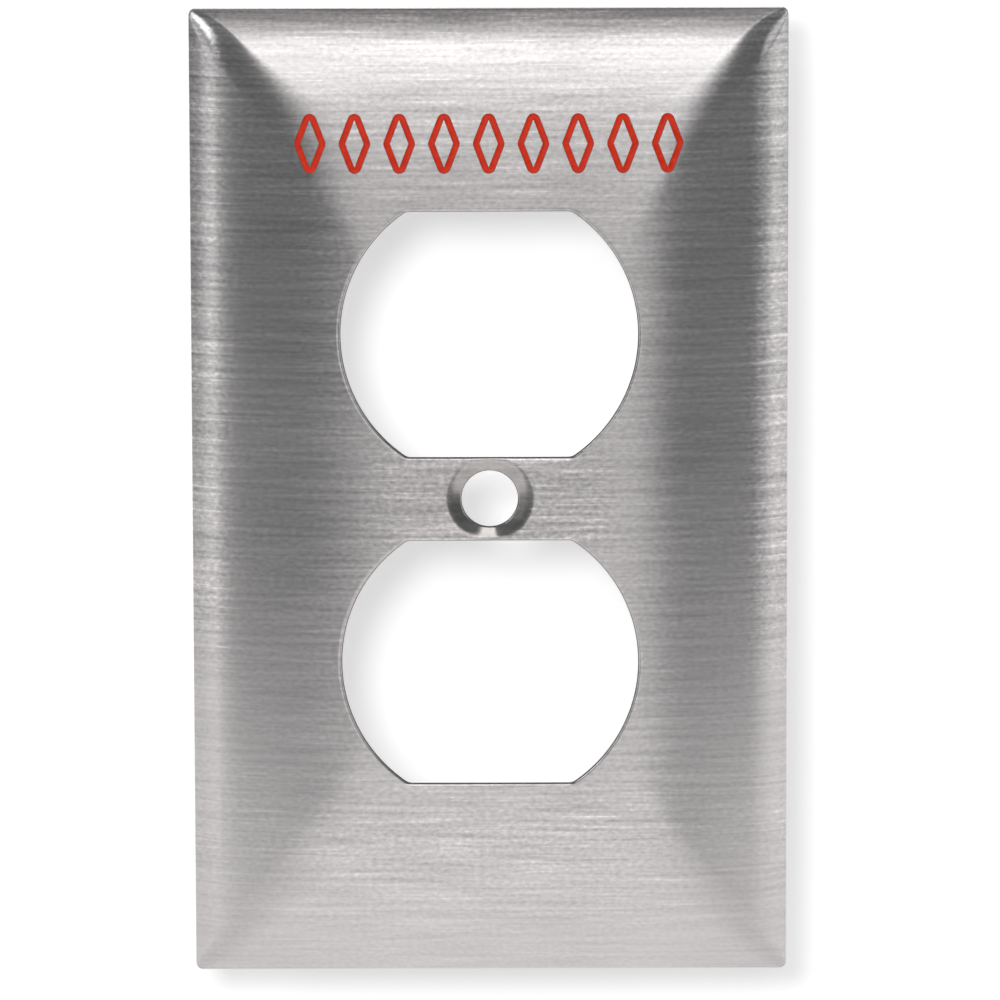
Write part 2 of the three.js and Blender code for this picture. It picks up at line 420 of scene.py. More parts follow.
def frame_stations():
    """The cross-section's stations from the front rings round the rim to the back rings: inset, height,
    radius, facing angle, whether the angle is a slope, developed stretch and look."""
    front = [FRAME_INSET]
    for fine_from, step in [(6, 0.75), (0.15, 0.22)]:
        while front[-1] > fine_from + step / 2:
            front.append(front[-1] - step)
    front[-1] = SLOPES[0][0]
    stations = []
    for inset in front:
        slope = math.atan(np.interp(inset, INSETS, TANGENTS))
        height, stretch = np.interp(inset, INSETS, HEIGHTS), np.interp(inset, INSETS, STRETCH)
        stations.append((inset, height, corner_radius(inset), slope, True, stretch, BRUSHED))
    first = stations[-1]
    bend_centre = first[1] - RIM_RADIUS * math.cos(FIRST_SLOPE)
    for slope in np.linspace(FIRST_SLOPE, math.pi / 2, RIM_POINTS)[1:]:
        inset = first[0] * (1 - math.sin(slope)) / (1 - math.sin(FIRST_SLOPE))
        height = bend_centre + RIM_RADIUS * math.cos(slope)
        stretch = first[5] + first[0] - inset + RIM_RADIUS * (slope - FIRST_SLOPE)
        stations.append((inset, height, CORNER_OUTER, slope, False, stretch, BRUSHED))
    rim_top, stretch = stations[-1][1], stations[-1][5]
    for height in np.linspace(rim_top, BACK_EDGE_RADIUS, EDGE_POINTS)[1:]:
        stations.append((0, height, CORNER_OUTER, math.pi / 2, False, stretch + rim_top - height, BRUSHED))
    for turn in np.linspace(0, math.pi / 2, EDGE_POINTS)[1:]:
        inset = BACK_EDGE_RADIUS * (1 - math.cos(turn))
        height = BACK_EDGE_RADIUS * (1 - math.sin(turn))
        radius = max(CORNER_OUTER - inset, CORNER_LEAST)
        beyond = stretch + rim_top + inset
        stations.append((inset, height, radius, math.pi / 2 + turn, False, beyond, EDGE))
    for turn in np.linspace(0, math.pi / 2, EDGE_POINTS):
        inset = SHEET - BACK_EDGE_RADIUS * (1 - math.sin(turn))
        height = BACK_EDGE_RADIUS * (1 - math.cos(turn))
        radius = max(CORNER_OUTER - inset, CORNER_LEAST)
        beyond = stretch + rim_top + inset
        stations.append((inset, height, radius, math.pi + turn, False, beyond, EDGE))
    inner = []
    for inset, height, radius, slope, is_slope, stretch, _ in stations:
        if slope > math.pi / 2 or (inset == 0 and height < rim_top):
            break
        inward = SHEET * math.sin(slope)
        height = height - SHEET * math.cos(slope)
        radius = max(radius - inward, CORNER_LEAST)
        inner.append((inset + inward, height, radius, slope + math.pi, is_slope, stretch, MILL))
    return stations + inner[::-1]


def add_frame(sheet):
    """The rim and the outer part of both faces. Returns the inner loops of the front and the back."""
    loops = []
    before = None
    for inset, height, radius, angle, is_slope, stretch, look in frame_stations():
        plan, outward, share = ring_plan(inset, radius, corner_growth(inset) if is_slope else 0.0)
        if is_slope:
            turned = math.pi if angle > math.pi else 0.0
            angle = turned + np.arctan(math.tan(angle - turned) * share)
        numbers = sheet.add(plan, height, facing_normals(outward, angle), plan + outward * stretch)
        if before is not None:
            sheet.strip(before, numbers, look)
        before = numbers
        loops.append((numbers, plan))
    return loops[0], loops[-1]


def lip_stations(bevel, radius):
    """A lip's stations from the face to the hole's wall: offset into the steel, drop and turn. The bevel
    eases in over half of its width, and a roll follows it."""
    slope = math.radians(BEVEL_SLOPE) if bevel else 0.0
    roll_reach = radius * (1 - math.sin(slope))
    stations = []
    if bevel:
        stations.append((roll_reach + bevel, 0.0, 0.0))
        stations.append((roll_reach + bevel / 2, bevel / 4 * math.tan(slope), slope))
    drop = bevel * 3 / 4 * math.tan(slope)
    for turn in np.linspace(slope, math.pi / 2, LIP_POINTS):
        offset = radius * (1 - math.sin(turn))
        stations.append((offset, drop + radius * (math.cos(slope) - math.cos(turn)), turn))
    return stations


def add_cut(sheet, plan_at, bevel, front_radius, back_radius):
    """A hole's bevelled and rolled front edge, its wall, which the punch broke out wider at the back, and its
    back edge. Returns the loops on both faces.

    plan_at(offset) gives the hole's outline moved into the steel, and its directions away from the hole.
    """
    loops = []
    stations = [(front_height, *station) for station in lip_stations(bevel, front_radius)]
    for offset, drop, turn in reversed(lip_stations(0.0, back_radius)):
        stations.append((back_height, offset + BREAKOUT, drop, turn))
    before = None
    for height_at, offset, drop, turn in stations:
        plan, away = plan_at(offset)
        base = surface_normals(height_at, *plan.T)
        if height_at is back_height:
            base, drop = -base, -drop
        into = np.stack([-away[:, 0], np.zeros(len(away)), -away[:, 1]], axis=1)
        normals = base * math.cos(turn) + into * math.sin(turn)
        height = height_at(*plan.T) - drop
        numbers = sheet.add(plan, height, normals, plan - away * abs(drop) * 0.5)
        if before is not None:
            on_face = height_at is front_height and turn < LAST_BRUSHED_TURN
            sheet.strip(before, numbers, BRUSHED if on_face else EDGE)
        before = numbers
        loops.append((numbers, plan))
    return loops[0], loops[-1]


def add_groove(sheet, centre_x):
    """One engraved line: two lipped walls and a floor. Returns its outer and inner loops on the front."""
    rims, floors = [], []
    for edge, side in [(MARK_CORE + STROKE, 1), (MARK_CORE, -1)]:
        before = None
        for turn in np.linspace(0, math.pi / 2, EDGE_POINTS):
            plan, away = mark_plan(centre_x, edge + side * GROOVE_LIP * (1 - math.sin(turn)))
            base = surface_normals(front_height, *plan.T)
            into = np.stack([-side * away[:, 0], np.zeros(len(away)), -side * away[:, 1]], axis=1)
            normals = base * math.cos(turn) + into * math.sin(turn)
            height = front_height(*plan.T) - GROOVE_LIP * (1 - math.cos(turn))
            numbers = sheet.add(plan, height, normals, plan)
            if before is None:
                rims.append((numbers, plan))
            else:
                sheet.strip(before, numbers, EDGE)
            before = numbers
        floor = sheet.add(plan, front_height(*plan.T) - GROOVE_DEPTH, into + base, plan)
        sheet.strip(before, floor, EDGE)
        floors.append(floor)
    sheet.strip(floors[0], floors[1], EDGE)
    return rims


# A face's spare points: how far apart they lie, and how far from its loops they stay.
SPARE_RING_STEP, SPARE_RING_LAST, SPARE_RING_CLEAR = 1.0, 21.5, 0.55
CIRCLE_FIRST, CIRCLE_STEP, CIRCLE_CLEAR = HOLE_RADIUS + 0.85, 0.3, 0.12
GRID_INSET, GRID_STEP, GRID_CLEAR = FRAME_INSET + 5, 1.9, 1.0


def spare_points(loops, holes, surround):
    """Points to fill a face with: rings on the slope, circles round the dimple and a grid on the flat."""
    insets = np.arange(FRAME_INSET + SPARE_RING_STEP, SPARE_RING_LAST, SPARE_RING_STEP)
    rings = [ring_plan(inset, corner_radius(inset))[0] for inset in insets]
    radii = np.arange(CIRCLE_FIRST, DIMPLE_RADIUS + 0.5, CIRCLE_STEP)
    circles = [circle_plan(radius, HOLE_STEPS)[0] for radius in radii]
    across = np.arange(GRID_INSET - HALF_WIDTH, HALF_WIDTH - GRID_INSET + 1, GRID_STEP)
    up = np.arange(GRID_INSET - HALF_HEIGHT, HALF_HEIGHT - GRID_INSET + 1, GRID_STEP)
    grid = np.stack(np.meshgrid(across, up), axis=-1).reshape(-1, 2)
    grid = grid[np.hypot(*grid.T) > DIMPLE_RADIUS + 1]
    rings = clear_of(np.concatenate(rings), loops, SPARE_RING_CLEAR)
    circles = clear_of(np.concatenate(circles), loops, CIRCLE_CLEAR)
    grid = clear_of(grid, loops + [rings], GRID_CLEAR)
    points = np.concatenate([rings, circles, grid])
    return points[kept_steel(points, holes, surround)]


def kept_steel(points, holes, surround):
    """Which points are on steel: inside the surround and in no hole. A hole can be (outer, inner)."""
    kept = inside(points, surround)
    for outer, inner in holes:
        gone = inside(points, outer)
        if inner is not None:
            gone &= ~inside(points, inner)
        kept &= ~gone
    return kept


def make_plate(materials, mark_places):
    sheet = Sheet()
    front_frame, back_frame = add_frame(sheet)
    cuts = [
        (lambda offset: opening_plan(OPENING_CENTRE, offset), BEVEL, OPENING_LIP, BACK_LIP),
        (lambda offset: opening_plan(-OPENING_CENTRE, offset), BEVEL, OPENING_LIP, BACK_LIP),
        (lambda offset: circle_plan(HOLE_RADIUS + offset, HOLE_STEPS), 0.0, HOLE_LIP, BACK_LIP),
    ]
    front_cuts, back_cuts = zip(*[add_cut(sheet, *cut) for cut in cuts])
    grooves = [add_groove(sheet, place) for place in mark_places]
    front_loops = list(front_cuts) + [rim for rims in grooves for rim in rims]
    holes = [(loop[1], None) for loop in front_cuts] + [(rims[0][1], rims[1][1]) for rims in grooves]
    add_face(sheet, front_frame, front_loops, holes, front_height, BRUSHED)
    back_holes = [(loop[1], None) for loop in back_cuts]
    add_face(sheet, back_frame, list(back_cuts), back_holes, back_height, MILL)
    return sheet.object("steel_plate", materials)


def add_face(sheet, surround, loops, holes, height, look):
    """The inner part of one face, between its surround and the loops of its holes and grooves."""
    spare = spare_points([loop[1] for loop in loops] + [surround[1]], holes, surround[1])
    sheet.fill(
        [surround] + loops,
        lambda centres: kept_steel(centres, holes, surround[1]),
        spare,
        height,
        look,
    )
    if height is back_height:
        sheet.normals[-1] = -sheet.normals[-1]


# ---------------------------------------------------------------- the enamel

# How far the enamel's edges lie below the front, its sag between them, and its bite into the steel. Its skin
# has ENAMEL_LOOPS loops, and its bottom edges' normals lean back by ENAMEL_LEAN.
ENAMEL_TOP, ENAMEL_SAG, ENAMEL_BITE = 0.05, 0.06, 0.01
ENAMEL_LOOPS, ENAMEL_LEAN = 11, 0.6


def make_enamel(name, centre_x, material):
    """Enamel in one groove: its skin clings to the groove's walls and sags a little between them."""
    sheet = Sheet()
    half = STROKE / 2 + ENAMEL_BITE
    across = np.sin(np.linspace(-math.pi / 2, math.pi / 2, ENAMEL_LOOPS)) * half
    loops = []
    for place in across:
        plan, away = mark_plan(centre_x, MARK_CORE + STROKE / 2 + place)
        hollow = 1 - (place / half) ** 2
        height = front_height(*plan.T) - ENAMEL_TOP - ENAMEL_SAG * hollow
        lean = -2 * ENAMEL_SAG * place / half**2
        normals = surface_normals(front_height, *plan.T)
        normals = normals + np.stack([away[:, 0], np.zeros(len(away)), away[:, 1]], axis=1) * lean
        loops.append(sheet.add(plan, height, normals, plan))
    for side, place in [(1, half), (-1, -half)]:
        plan, away = mark_plan(centre_x, MARK_CORE + STROKE / 2 + place)
        backward = np.full(len(away), ENAMEL_LEAN)
        normals = np.stack([side * away[:, 0], backward, side * away[:, 1]], axis=1)
        low = sheet.add(plan, front_height(*plan.T) - GROOVE_DEPTH - ENAMEL_BITE, normals, plan)
        if side > 0:
            loops.append(low)
        else:
            loops.insert(0, low)
    for first, second in zip(loops, loops[1:] + loops[:1]):
        sheet.strip(first, second, 0)
    return sheet.object(name, [material])


# ---------------------------------------------------------------- materials

# The grain is rubbed RUBBED_GAIN strong along the sides, except low down, and on the web between the
# openings. A pair says where the sides' part starts and is full, or where the web's starts to fade and ends.
# All are in millimetres from the plate's middle planes.
RUBBED_GAIN = 1.42
SIDE_ACROSS, SIDE_UP = (28.0, 32.0), (-32.0, -12.0)
WEB_ACROSS, WEB_UP = (12.0, 20.0), (5.0, 8.0)
# Elsewhere its strength goes by height, and from BESIDE_ACROSS outwards it is BESIDE_GAIN of that.
BESIDE_ACROSS, BESIDE_GAIN = (16.0, 24.0), 0.72
GAIN_BY_HEIGHT = [
    (-57, 0.4),
    (-52, 0.5),
    (-47, 0.8),
    (-40, 1.15),
    (-32, 0.8),
    (-28, 0.72),
    (28, 0.72),
    (36, 0.95),
    (50, 1),
    (56, 1.3),
]
# The grain's fine part, the noise that is a scratch, and how bright a scratch is.
FINE_SHARE = 0.45
SCRATCH_RANGE, SCRATCH_STRENGTH = (0.64, 0.75), 0.1
BRUSHED_TONES = [(0.2, (0.36, 0.36, 0.36)), (0.61, (0.67, 0.667, 0.665)), (0.8, (0.93, 0.925, 0.92))]
# Inside the dimple the grain is weaker and its roughness less, and the steel is painted darker and a little
# brownish: partly painted shade in its hollow. That fades out over these radii.
DIMPLE_FADE = (DIMPLE_RADIUS - 0.9, DIMPLE_RADIUS - 0.1)
DIMPLE_SMOOTHING, DIMPLE_POLISH = 0.85, 0.05
DIMPLE_SHADE_TONE = (0.75, 0.74, 0.725)


def new_material(name):
    material = bpy.data.materials.new(name)
    material.use_nodes = True
    nodes, links = material.node_tree.nodes, material.node_tree.links
    shader = nodes["Principled BSDF"]
    return material, nodes, links, shader


def stretched_noise(nodes, links, place, scale, detail):
    """Noise whose features are 1 / scale long along each axis of a place."""
    mapping = nodes.new("ShaderNodeMapping")
    mapping.inputs["Scale"].default_value = scale
    links.new(place, mapping.inputs["Vector"])
    noise = nodes.new("ShaderNodeTexNoise")
    noise.inputs["Scale"].default_value = 1.0
    noise.inputs["Detail"].default_value = detail
    noise.inputs["Roughness"].default_value = 0.55
    links.new(mapping.outputs["Vector"], noise.inputs["Vector"])
    return noise.outputs["Fac"]


def ranged(nodes, links, value, low_in, high_in, low_out, high_out):
    node = nodes.new("ShaderNodeMapRange")
    node.inputs["From Min"].default_value = low_in
    node.inputs["From Max"].default_value = high_in
    node.inputs["To Min"].default_value = low_out
    node.inputs["To Max"].default_value = high_out
    links.new(value, node.inputs["Value"])
    return node.outputs["Result"]


def combined(nodes, links, operation, *values):
    node = nodes.new("ShaderNodeMath")
    node.operation = operation
    for socket, value in zip(node.inputs, values):
        if isinstance(value, (int, float)):
            socket.default_value = value
        else:
            links.new(value, socket)
    return node.outputs["Value"]


def ramp(nodes, links, value, stops):
    node = nodes.new("ShaderNodeValToRGB")
    elements = node.color_ramp.elements
    while len(elements) < len(stops):
        elements.new(0.5)
    for element, (position, color) in zip(elements, stops):
        element.position = position
        element.color = (*color, 1)
    links.new(value, node.inputs["Fac"])
    return node.outputs["Color"]


def blended(nodes, links, mode, factor, first, second):
    """Two colours blended by a factor, which may be above 1. Each is a socket or a constant."""
    node = nodes.new("ShaderNodeMix")
    node.data_type = "RGBA"
    node.blend_type = mode
    node.clamp_factor = False
    for name, value in [("Factor", factor), ("A", first), ("B", second)]:
        if isinstance(value, bpy.types.NodeSocket):
            links.new(value, node.inputs[name])
        else:
            node.inputs[name].default_value = value
    return node.outputs["Result"]


def sheet_place(nodes):
    """Where a point lies on the flat sheet."""
    uv = nodes.new("ShaderNodeUVMap")
    uv.uv_map = "Developed"
    return uv.outputs["UV"]


def over_sheet(nodes, links, value, span, low_out, high_out):
    """A value that changes over a span of the flat sheet, in millimetres."""
    start, end = span
    return ranged(nodes, links, value, start * UV_SCALE, end * UV_SCALE, low_out, high_out)


def add_bump(nodes, links, shader, height, strength, distance):
    bump = nodes.new("ShaderNodeBump")
    bump.inputs["Strength"].default_value = strength
    bump.inputs["Distance"].default_value = distance * MM
    links.new(height, bump.inputs["Height"])
    links.new(bump.outputs["Normal"], shader.inputs["Normal"])


def grain_gain(nodes, links, place):
    """How strong the brushed grain is outside the dimple."""
    split = nodes.new("ShaderNodeSeparateXYZ")
    links.new(place, split.inputs["Vector"])
    height = split.outputs["Y"]
    across = combined(nodes, links, "ABSOLUTE", split.outputs["X"])
    from_middle = combined(nodes, links, "ABSOLUTE", height)
    beside = over_sheet(nodes, links, across, SIDE_ACROSS, 0, 1)
    above = over_sheet(nodes, links, height, SIDE_UP, 0, 1)
    sides = combined(nodes, links, "MULTIPLY", beside, above)
    inward = over_sheet(nodes, links, across, WEB_ACROSS, 1, 0)
    between = over_sheet(nodes, links, from_middle, WEB_UP, 1, 0)
    web = combined(nodes, links, "MULTIPLY", between, inward)
    rubbed = combined(nodes, links, "MAXIMUM", sides, web)
    rubbed_gain = combined(nodes, links, "MULTIPLY", rubbed, RUBBED_GAIN)
    share = over_sheet(nodes, links, height, (-HALF_HEIGHT, HALF_HEIGHT), 0, 1)
    stops = [((1 + z / HALF_HEIGHT) / 2, (amount,) * 3) for z, amount in GAIN_BY_HEIGHT]
    by_height = ramp(nodes, links, share, stops)
    by_side = over_sheet(nodes, links, across, BESIDE_ACROSS, 1, BESIDE_GAIN)
    plain_gain = combined(nodes, links, "MULTIPLY", by_height, by_side)
    return combined(nodes, links, "MAXIMUM", plain_gain, rubbed_gain)


def brushed_steel():
    """Stainless steel with a fine grain and some bright scratches across the plate. The punch that pressed
    the dimple smoothed most of them away. The dimple's steel is painted darker, partly as shade in its
    hollow."""
    material, nodes, links, shader = new_material("brushed_stainless")
    place = sheet_place(nodes)
    away = nodes.new("ShaderNodeVectorMath")
    away.operation = "LENGTH"
    links.new(place, away.inputs[0])
    in_dimple = over_sheet(nodes, links, away.outputs["Value"], DIMPLE_FADE, 1, 0)
    full_gain = grain_gain(nodes, links, place)
    gain = combined(nodes, links, "MULTIPLY_ADD", in_dimple, -DIMPLE_SMOOTHING, full_gain)
    fine = stretched_noise(nodes, links, place, (150, 230, 1), detail=1)
    coarse = stretched_noise(nodes, links, place, (7, 170, 1), detail=1)
    fine_part = combined(nodes, links, "MULTIPLY", fine, FINE_SHARE)
    grain = combined(nodes, links, "MULTIPLY_ADD", coarse, 1 - FINE_SHARE, fine_part)
    centred = combined(nodes, links, "SUBTRACT", grain, 0.5)
    scratches = stretched_noise(nodes, links, place, (12, 360, 1), detail=0)
    bright = ranged(nodes, links, scratches, *SCRATCH_RANGE, 0, SCRATCH_STRENGTH)
    scratched = combined(nodes, links, "ADD", centred, bright)
    strength = combined(nodes, links, "MULTIPLY_ADD", scratched, gain, 0.5)
    tone = ramp(nodes, links, strength, BRUSHED_TONES)
    # Painted shade: the dimple's tone darkens the steel there for the shade in its hollow, and warms it a
    # little.
    tone_with_dimple_shade = blended(nodes, links, "MULTIPLY", in_dimple, tone, (*DIMPLE_SHADE_TONE, 1))
    links.new(tone_with_dimple_shade, shader.inputs["Base Color"])
    cloud = stretched_noise(nodes, links, place, (3, 5, 1), detail=2)
    rough = ranged(nodes, links, grain, 0.3, 0.7, 0.185, 0.22)
    blotch = ranged(nodes, links, cloud, 0.3, 0.7, -0.02, 0.02)
    uneven = combined(nodes, links, "ADD", rough, blotch)
    polished = combined(nodes, links, "MULTIPLY_ADD", in_dimple, -DIMPLE_POLISH, uneven)
    links.new(polished, shader.inputs["Roughness"])
    shader.inputs["Metallic"].default_value = 1.0
    shader.inputs["Anisotropic"].default_value = 0.88
    shader.inputs["Anisotropic Rotation"].default_value = 0.25
    tangent = nodes.new("ShaderNodeTangent")
    tangent.direction_type = "UV_MAP"
    tangent.uv_map = "Developed"
    links.new(tangent.outputs["Tangent"], shader.inputs["Tangent"])
    add_bump(nodes, links, shader, grain, 0.1, 0.02)
    return material


def shaded_cut_edge():
    """The punched wall of each hole, a rough fracture whose dark tone is partly its own and partly painted
    shade.
    """
    material, nodes, links, shader = new_material("shaded_cut_edge")
    scuff = stretched_noise(nodes, links, sheet_place(nodes), (160, 160, 1), detail=4)
    # Painted shade: the tone is kept very dark to stand for the shade on the holes' walls, besides the
    # fracture's own dullness.
    tone = ramp(nodes, links, scuff, [(0.35, (0.12, 0.12, 0.12)), (0.65, (0.22, 0.215, 0.21))])
    links.new(tone, shader.inputs["Base Color"])
    links.new(ranged(nodes, links, scuff, 0.3, 0.7, 0.45, 0.6), shader.inputs["Roughness"])
    shader.inputs["Metallic"].default_value = 0.3
    shader.inputs["Specular IOR Level"].default_value = 0.2
    return material


def mill_steel():
    """The unpolished back of the sheet."""
    material, nodes, links, shader = new_material("mill_stainless")
    place = sheet_place(nodes)
    roll = stretched_noise(nodes, links, place, (260, 9, 1), detail=3)
    cloud = stretched_noise(nodes, links, place, (7, 6, 1), detail=4)
    half = combined(nodes, links, "MULTIPLY", cloud, 0.5)
    mixed = combined(nodes, links, "MULTIPLY_ADD", roll, 0.5, half)
    tone = ramp(nodes, links, mixed, [(0.35, (0.36, 0.36, 0.365)), (0.65, (0.50, 0.50, 0.495))])
    links.new(tone, shader.inputs["Base Color"])
    links.new(ranged(nodes, links, mixed, 0.3, 0.7, 0.34, 0.46), shader.inputs["Roughness"])
    shader.inputs["Metallic"].default_value = 1.0
    add_bump(nodes, links, shader, mixed, 0.25, 0.02)
    return material


def red_enamel():
    """Red enamel with a slightly uneven pigment and a dull skin."""
    material, nodes, links, shader = new_material("red_enamel")
    pigment = stretched_noise(nodes, links, sheet_place(nodes), (120, 120, 1), detail=4)
    tone = ramp(nodes, links, pigment, [(0.3, (0.53, 0.017, 0.003)), (0.7, (0.70, 0.034, 0.007))])
    links.new(tone, shader.inputs["Base Color"])
    links.new(ranged(nodes, links, pigment, 0.3, 0.7, 0.4, 0.55), shader.inputs["Roughness"])
    shader.inputs["Specular IOR Level"].default_value = 0.12
    add_bump(nodes, links, shader, pigment, 0.3, 0.03)
    return material


# ---------------------------------------------------------------- the object

steel_looks = [brushed_steel(), shaded_cut_edge(), mill_steel()]
enamel_look = red_enamel()
mark_nodes = sorted(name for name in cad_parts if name.startswith("enamel_fill_"))
mark_places = [sum(corner[0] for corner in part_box(name)) / 2 / MM for name in mark_nodes]

plate = make_plate(steel_looks, mark_places)
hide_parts("wall_plate")
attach(plate, "root")
enamels = []
for node, place in zip(mark_nodes, mark_places):
    enamel = make_enamel(node.replace("fill", "mark"), place, enamel_look)
    enamels.append(enamel)
    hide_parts(node)
    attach(enamel, "root")

# ---------------------------------------------------------------- stage, light and camera

# The stage is in metres. A card's glow is its emission strength.
WALL_GAP, WALL_REACH = 0.015, 0.15
WALL_GLOW, WALL_SHADE = 0.447, 0.8
FLOOR_BELOW, FLOOR_FRONT, FLOOR_BACK, FLOOR_SIDE = 0.02, -0.22, 0.7, 0.5
FLOOR_GLOW, FLOOR_DIMMED = 0.98, 0.82
# The dimmed patch starts and ends over these multiples of the plate's half width, and its front edge lies
# between these places along Y.
PATCH_START, PATCH_END, PATCH_FRONT = (0.6, 1.3), (1.7, 2.3), (-0.18, -0.12)


def stage_plane(name, corners, material, only_reflected):
    mesh = bpy.data.meshes.new(name)
    mesh.from_pydata(corners, [], [(0, 1, 2, 3)])
    mesh.materials.append(material)
    plane = bpy.data.objects.new(name, mesh)
    bpy.context.collection.objects.link(plane)
    plane.visible_camera = not only_reflected
    plane.visible_diffuse = False
    plane.visible_glossy = only_reflected
    plane.visible_shadow = False
    return plane


def card_material(name, glow, dimmed, shade, tint):
    """A card that glows, is dimmed in the patch before each side of the plate, and is clear from behind."""
    material, nodes, links, shader = new_material(name)
    nodes.remove(shader)
    diffuse = nodes.new("ShaderNodeBsdfDiffuse")
    diffuse.inputs["Color"].default_value = (shade, shade, shade, 1)
    emission = nodes.new("ShaderNodeEmission")
    emission.inputs["Color"].default_value = (*tint, 1)
    split = nodes.new("ShaderNodeSeparateXYZ")
    links.new(nodes.new("ShaderNodeTexCoord").outputs["Object"], split.inputs["Vector"])
    across = combined(nodes, links, "ABSOLUTE", split.outputs["X"])
    start = ranged(nodes, links, across, *(edge * CAD_HIGH.x for edge in PATCH_START), 0, 1)
    end = ranged(nodes, links, across, *(edge * CAD_HIGH.x for edge in PATCH_END), 1, 0)
    near = ranged(nodes, links, split.outputs["Y"], *PATCH_FRONT, 0, 1)
    patch = combined(nodes, links, "MULTIPLY", combined(nodes, links, "MULTIPLY", start, end), near)
    strength = combined(nodes, links, "MULTIPLY_ADD", patch, dimmed - glow, glow)
    links.new(strength, emission.inputs["Strength"])
    lit = nodes.new("ShaderNodeAddShader")
    links.new(diffuse.outputs["BSDF"], lit.inputs[0])
    links.new(emission.outputs["Emission"], lit.inputs[1])
    clear = nodes.new("ShaderNodeBsdfTransparent")
    side = nodes.new("ShaderNodeNewGeometry")
    mix = nodes.new("ShaderNodeMixShader")
    links.new(side.outputs["Backfacing"], mix.inputs["Fac"])
    links.new(lit.outputs["Shader"], mix.inputs[1])
    links.new(clear.outputs["BSDF"], mix.inputs[2])
    links.new(mix.outputs["Shader"], nodes["Material Output"].inputs["Surface"])
    return material


def make_stage():
    wall = stage_plane(
        "wall_card",
        [(x * WALL_REACH, WALL_GAP, z * WALL_REACH) for x, z in [(-1, -1), (1, -1), (1, 1), (-1, 1)]],
        card_material("white_wall", WALL_GLOW, WALL_GLOW, WALL_SHADE, NEUTRAL),
        False,
    )
    floor_z = CAD_LOW.z - FLOOR_BELOW
    floor = [(-1, FLOOR_FRONT), (1, FLOOR_FRONT), (1, FLOOR_BACK), (-1, FLOOR_BACK)]
    stage_plane(
        "floor",
        [(x * FLOOR_SIDE, y, floor_z) for x, y in floor],
        card_material("pale_floor", FLOOR_GLOW, FLOOR_DIMMED, 0, WARM),
        True,
    )
    return wall


# Brightness by elevation in the front window and beside it, the window's share by lateral angle, and the
# strips at the sides.
FRONT_BY_ELEVATION = [
    (-90, 0.5),
    (-10, 0.5),
    (-6, 0.6),
    (-3, 0.88),
    (1, 0.92),
    (10, 0.62),
    (15, 1.56),
    (20, 2.2),
    (30, 1.64),
    (40, 1.2),
    (52, 0.8),
    (64, 0.34),
    (90, 0.1),
]
SIDE_BY_ELEVATION = [
    (-90, 0.6),
    (-40, 0.5),
    (-25, 0.3),
    (-12, 0.18),
    (0, 0.15),
    (9, 0.13),
    (18, 0.2),
    (30, 0.24),
    (70, 0.2),
    (90, 0.3),
]
FRONT_SHARE = [
    (-90, 0),
    (-5.4, 0),
    (-4.6, 0.3),
    (-3.8, 1.25),
    (-2.6, 1.25),
    (-1.5, 1),
    (6.6, 1),
    (8.1, 0.4),
    (10.2, 0),
    (90, 0),
]
STRIPS = [
    (-90, 0),
    (-78, 0.04),
    (-70, 0.15),
    (-63, 0.5),
    (-57, 0.66),
    (-50, 0.6),
    (-44, 0.34),
    (-33, 0.1),
    (-24, 0),
    (36, 0),
    (47, 0.08),
    (54, 0.2),
    (60, 0.46),
    (66, 0.72),
    (72, 0.66),
    (90, 0.58),
]
# The window's share goes by the lateral angle times a narrowing, plus a drift. Both go by elevation, and make
# the window wider and further left higher up.
WINDOW_NARROWING = [(-90, 1), (-6, 1), (4, 0.64), (10, 0.64), (16, 0.81), (90, 0.81)]
WINDOW_DRIFT = [(-90, 0), (-6, 0), (4, 1.1), (10, 1.1), (16, 0.36), (90, 0.36)]
# Round lamps: direction, radius in degrees and brightness. The plate's top corners catch the first three, and
# the others brighten the window's right.
LAMPS = [
    ((-0.574, -0.717, 0.396), 4, 6),
    ((-0.508, -0.720, 0.473), 4, 6),
    ((0.707, -0.676, 0.208), 11, 0.9),
    ((0.101, -0.973, 0.208), 3.6, 1.1),
    ((0.125, -0.987, 0.105), 4.5, 0.6),
]
# The lights are a little warm, and what lies between them is a little cool.
WARM, NEUTRAL, COOL = (1.025, 0.985, 0.985), (1, 1, 1), (0.985, 1.0, 1.01)


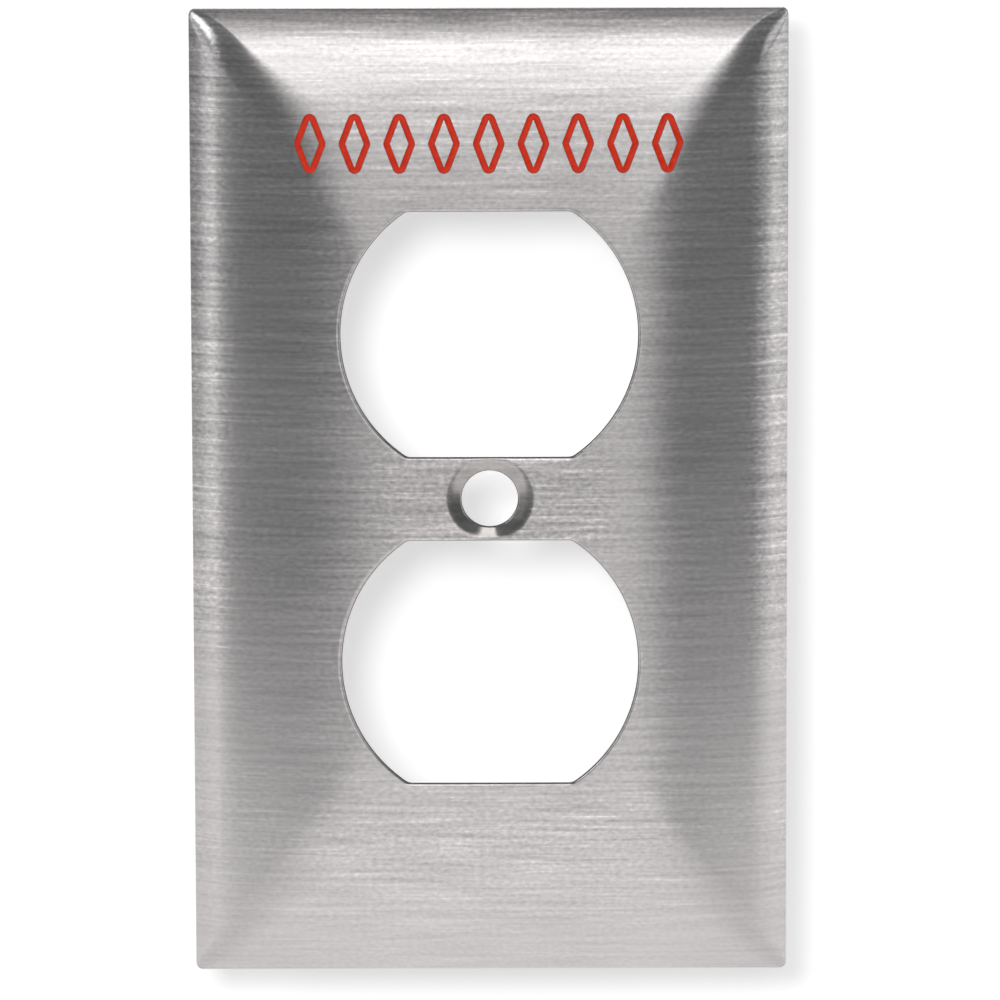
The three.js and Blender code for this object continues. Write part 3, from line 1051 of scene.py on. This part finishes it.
def make_world():
    """A studio around the plate: a window of light in front, strips of light at the sides and dark between
    them. Directions are an elevation and a lateral angle, which is how far they turn to the right of the
    plate's middle plane."""
    world = bpy.data.worlds.new("studio")
    bpy.context.scene.world = world
    world.use_nodes = True
    nodes, links = world.node_tree.nodes, world.node_tree.links
    background = nodes["Background"]
    place = nodes.new("ShaderNodeTexCoord").outputs["Generated"]
    split = nodes.new("ShaderNodeSeparateXYZ")
    links.new(place, split.inputs["Vector"])
    turned, risen = (combined(nodes, links, "ARCSINE", split.outputs[axis]) for axis in "XZ")
    lateral = combined(nodes, links, "DEGREES", turned)
    elevation = combined(nodes, links, "DEGREES", risen)

    def by_angle(angle, table, tint):
        """What a table of (angle, value) gives, tinted."""
        share = ranged(nodes, links, angle, -90, 90, 0, 1)
        stops = [((at + 90) / 180, tuple(value * part for part in tint)) for at, value in table]
        return ramp(nodes, links, share, stops)

    def round_lamp(direction, radius, brightness):
        """A disc of light that is full over the inner half of its radius."""
        toward = nodes.new("ShaderNodeVectorMath")
        toward.operation = "DOT_PRODUCT"
        toward.inputs[1].default_value = direction
        links.new(place, toward.inputs[0])
        edge, full = math.cos(math.radians(radius)), math.cos(math.radians(radius / 2))
        return ranged(nodes, links, toward.outputs["Value"], edge, full, 0, brightness)

    narrowing = by_angle(elevation, WINDOW_NARROWING, NEUTRAL)
    drift = by_angle(elevation, WINDOW_DRIFT, NEUTRAL)
    window = combined(nodes, links, "MULTIPLY_ADD", lateral, narrowing, drift)
    front = by_angle(elevation, FRONT_BY_ELEVATION, WARM)
    sides = by_angle(elevation, SIDE_BY_ELEVATION, COOL)
    total = blended(nodes, links, "MIX", by_angle(window, FRONT_SHARE, NEUTRAL), sides, front)
    for extra in [by_angle(lateral, STRIPS, WARM)] + [round_lamp(*look) for look in LAMPS]:
        total = blended(nodes, links, "ADD", 1.0, total, extra)
    rays = nodes.new("ShaderNodeLightPath")
    seen = blended(nodes, links, "MIX", rays.outputs["Is Camera Ray"], total, (1, 1, 1, 1))
    links.new(seen, background.inputs["Color"])
    background.inputs["Strength"].default_value = 1.0


KEY_DIRECTION, KEY_DISTANCE = Vector((-0.156, -1, 0.29)).normalized(), 0.9
KEY_SIZE, KEY_ENERGY = 0.2, 3.2


def make_lights(receiving):
    """A key light for the wall card and the enamel, so that the plate's shadow falls to the lower right."""
    light = bpy.data.lights.new("wall_key", "AREA")
    light.shape = "DISK"
    light.size = KEY_SIZE
    light.energy = KEY_ENERGY
    key = bpy.data.objects.new("wall_key", light)
    bpy.context.collection.objects.link(key)
    key.location = KEY_DIRECTION * KEY_DISTANCE
    key.rotation_mode = "QUATERNION"
    key.rotation_quaternion = KEY_DIRECTION.to_track_quat("Z", "Y")
    receivers = bpy.data.collections.new("key_receivers")
    for piece in receiving:
        receivers.objects.link(piece)
    key.light_linking.receiver_collection = receivers


CAMERA_DISTANCE = 1.05
CAMERA_AZIMUTH, CAMERA_ELEVATION, CAMERA_ROLL = 0.12, 9.5, 0.17  # degrees
CAMERA_LENS = 321.75
CAMERA_SHIFT = (0.0102, -0.0087)


def make_camera():
    data = bpy.data.cameras.new("camera")
    camera = bpy.data.objects.new("camera", data)
    bpy.context.collection.objects.link(camera)
    data.sensor_width = 36
    data.lens = CAMERA_LENS
    data.shift_x, data.shift_y = CAMERA_SHIFT
    azimuth, elevation = math.radians(CAMERA_AZIMUTH), math.radians(CAMERA_ELEVATION)
    back = Vector((
        math.sin(azimuth) * math.cos(elevation),
        -math.cos(azimuth) * math.cos(elevation),
        math.sin(elevation),
    ))
    camera.location = back * CAMERA_DISTANCE
    roll = Quaternion((0, 0, 1), -math.radians(CAMERA_ROLL))
    camera.rotation_mode = "QUATERNION"
    camera.rotation_quaternion = (-back).to_track_quat("-Z", "Y") @ roll
    data.clip_start, data.clip_end = 0.01, 20
    bpy.context.scene.camera = camera


wall_card = make_stage()
make_world()
make_lights([wall_card, *enamels])
make_camera()
bpy.context.scene.view_settings.view_transform = "Standard"
